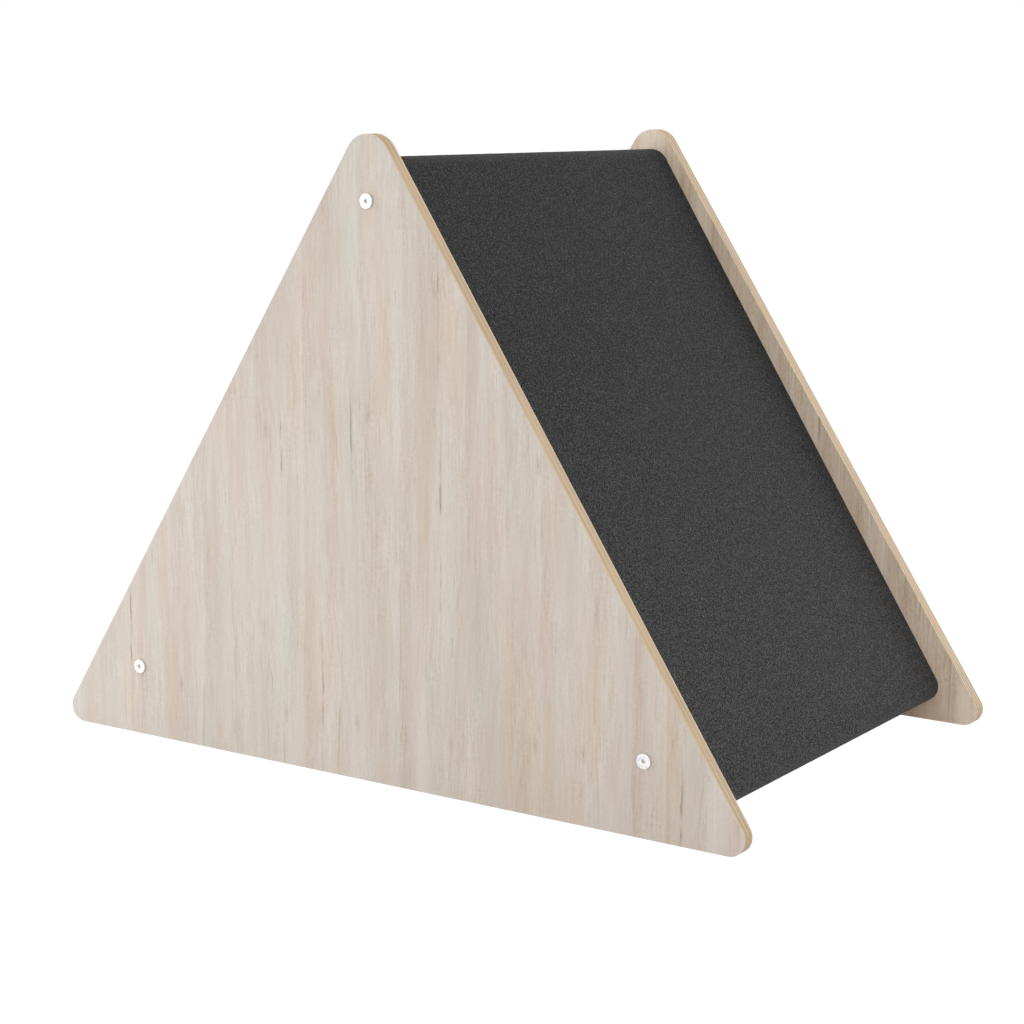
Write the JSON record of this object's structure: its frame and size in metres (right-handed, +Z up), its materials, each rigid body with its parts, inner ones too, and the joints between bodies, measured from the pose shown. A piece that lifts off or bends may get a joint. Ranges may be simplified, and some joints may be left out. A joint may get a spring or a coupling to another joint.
{
  "type": "toddler slide",
  "caption": "Free-standing triangular toddler slide: two wood-look side panels with rounded corners, and a carpet-covered slope between them that wraps round the ridge and the feet.",
  "frame": {"origin": "on the floor, at the middle of the base between the two side panels", "axes": "+X along the base towards the foot of the slope, +Y from the front panel to the rear one, +Z up"},
  "size_m": [0.9576, 0.6272, 0.7304],
  "materials": {
    "laminate": "matte pale greige wood-look laminate, vertical grain",
    "plywood": "birch plywood, clear-sealed edge",
    "softwood": "planed pine, unfinished",
    "beech": "turned beech, unfinished",
    "carpet": "charcoal needle-felt carpet, matte",
    "nickel": "satin nickel plate",
    "zinc": "bright zinc plate"
  },
  "bodies": {
    "root": {"side_panel_front": "plywood", "side_panel_rear": "plywood", "laminate_front_outer": "laminate", "laminate_front_inner": "laminate", "laminate_rear_inner": "laminate", "laminate_rear_outer": "laminate", "ridge_beam": "softwood", "foot_rail_left": "softwood", "foot_rail_right": "softwood", "slope_deck_left": "plywood", "slope_deck_right": "plywood", "deck_batten_left_front": "softwood", "deck_batten_left_rear": "softwood", "deck_batten_right_front": "softwood", "deck_batten_right_rear": "softwood", "carpet_cover": "carpet", "connector_bolts_front": "nickel", "connector_bolts_rear": "nickel", "barrel_nuts_front": "zinc", "barrel_nuts_rear": "zinc", "locating_dowels_front": "beech", "locating_dowels_rear": "beech", "deck_screws_left": "zinc", "deck_screws_right": "zinc", "hem_staples_left": "zinc", "hem_staples_right": "zinc"}
  },
  "joints": []
}
